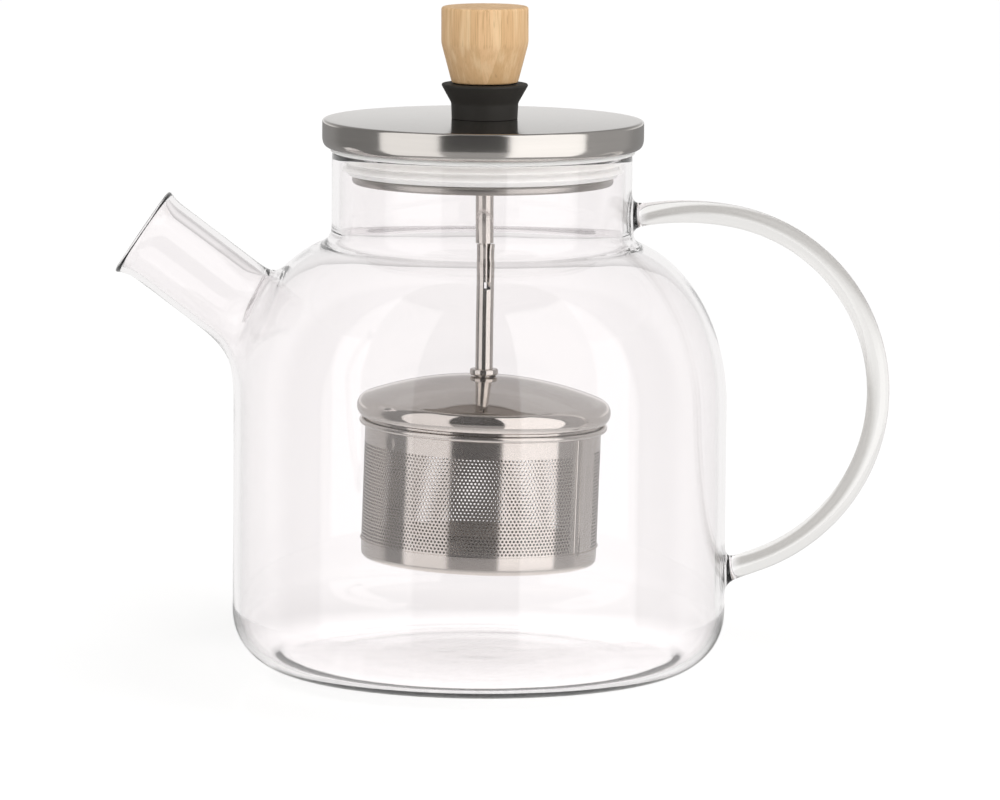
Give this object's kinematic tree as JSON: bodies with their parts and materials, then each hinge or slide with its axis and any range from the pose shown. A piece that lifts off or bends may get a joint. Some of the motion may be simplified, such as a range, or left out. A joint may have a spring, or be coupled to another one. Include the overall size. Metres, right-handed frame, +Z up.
{
  "type": "glass teapot",
  "caption": "Clear glass teapot with slanted spout and loop handle, steel lid, bamboo lifting knob and perforated infuser basket on a sliding rod.",
  "frame": {"origin": "centre of the glass base, on the surface the pot stands on", "axes": "+Z up, -X towards the spout, +X towards the handle, -Y towards the viewer"},
  "size_m": [0.2125, 0.1356, 0.1827],
  "materials": {
    "clear_glass": "clear polished borosilicate glass",
    "brushed_steel": "circular brushed satin",
    "polished_steel": "polished stainless steel",
    "satin_steel": "fine satin sheet",
    "bamboo": "laminated bamboo, matte",
    "black_silicone": "matte black silicone",
    "clear_silicone": "translucent silicone",
    "brass": "turned, satin"
  },
  "bodies": {
    "pot": {"glass_floor": "clear_glass", "glass_corner": "clear_glass", "glass_wall": "clear_glass", "glass_shoulder": "clear_glass", "glass_crown": "clear_glass", "glass_neck": "clear_glass", "spout": "clear_glass", "handle": "clear_glass"},
    "lid": {"lid_cap": "brushed_steel", "lid_seal": "clear_silicone", "lid_plate": "polished_steel", "lid_bush": "satin_steel", "lid_nut": "satin_steel", "knob_collar": "black_silicone"},
    "rod_grip": {"grip_ring": "black_silicone"},
    "plunger": {"knob": "bamboo", "knob_insert": "brass", "upper_rod": "polished_steel", "rod_spigot": "polished_steel"},
    "infuser": {"lower_rod": "polished_steel", "rod_flange": "polished_steel", "infuser_cap": "polished_steel", "cap_skirt": "satin_steel", "cap_nut": "satin_steel"},
    "basket": {"basket_rim": "satin_steel", "basket_wall": "satin_steel", "basket_floor": "satin_steel"}
  },
  "joints": [
    {"name": "lid_lift", "type": "slide", "parent": "pot", "child": "lid", "axis": [0, 0, 1], "range_m": [0, 0.13]},
    {"name": "plunger_turn", "type": "hinge", "parent": "lid", "child": "rod_grip", "pos_m": [0.00055, 0, 0.162], "axis": [-0.007, 0, 1], "continuous": true},
    {"name": "plunger_lift", "type": "slide", "parent": "rod_grip", "child": "plunger", "axis": [-0.007, 0, 1], "range_m": [0, 0.045]},
    {"name": "infuser_release", "type": "slide", "parent": "plunger", "child": "infuser", "axis": [-0.0073, 0, -1], "range_m": [0, 0.01]},
    {"name": "basket_release", "type": "slide", "parent": "infuser", "child": "basket", "axis": [-0.0297, 0, -0.9996], "range_m": [0, 0.009]}
  ]
}
